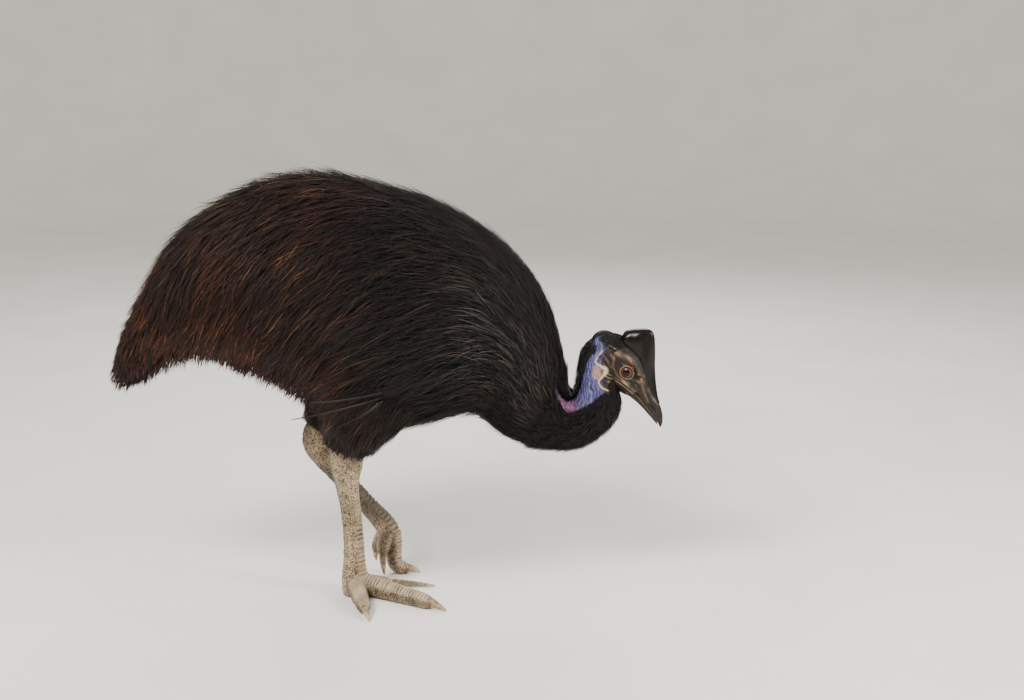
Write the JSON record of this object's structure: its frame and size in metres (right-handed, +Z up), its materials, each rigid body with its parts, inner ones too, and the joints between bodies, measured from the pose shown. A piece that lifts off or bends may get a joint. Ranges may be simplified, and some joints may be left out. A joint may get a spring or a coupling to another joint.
{
  "type": "cassowary",
  "caption": "Large flightless ratite bird, walking with its neck curved down and its head low: arched plumed body, horny casque, long pointed bill, bare scaly legs.",
  "frame": {"origin": "on the floor, at the centre of the bird's bounding box seen from above", "axes": "+X from the tail to the bill, +Y to the bird's left, +Z up"},
  "size_m": [1.0422, 0.3936, 0.8104],
  "materials": {
    "feather": "long hair-like plumage, satin",
    "plumed_flesh": "long hair-like plumage over the body",
    "skin": "wrinkled bare skin",
    "horn": "polished horn",
    "scale": "scaly skin, semi-matt",
    "claw": "horn, satin",
    "eye": "wet"
  },
  "bodies": {
    "root": {"torso": "plumed_flesh", "rump": "feather", "tail": "feather", "neck_lower": "feather", "wing_right": "feather", "wing_left": "feather", "thigh_right": "feather", "thigh_left": "feather", "neck_upper": "skin", "head": "skin", "casque": "horn", "bill_upper": "horn", "bill_lower": "horn", "eye_right": "eye", "eye_left": "eye", "shank_right": "scale", "shank_left": "scale", "toe_right_middle": "scale", "claw_right_middle": "claw", "toe_right_outer": "scale", "claw_right_outer": "claw", "toe_right_inner": "scale", "claw_right_inner": "claw", "toe_left_middle": "scale", "claw_left_middle": "claw", "toe_left_outer": "scale", "claw_left_outer": "claw", "toe_left_inner": "scale", "claw_left_inner": "claw"}
  },
  "joints": []
}
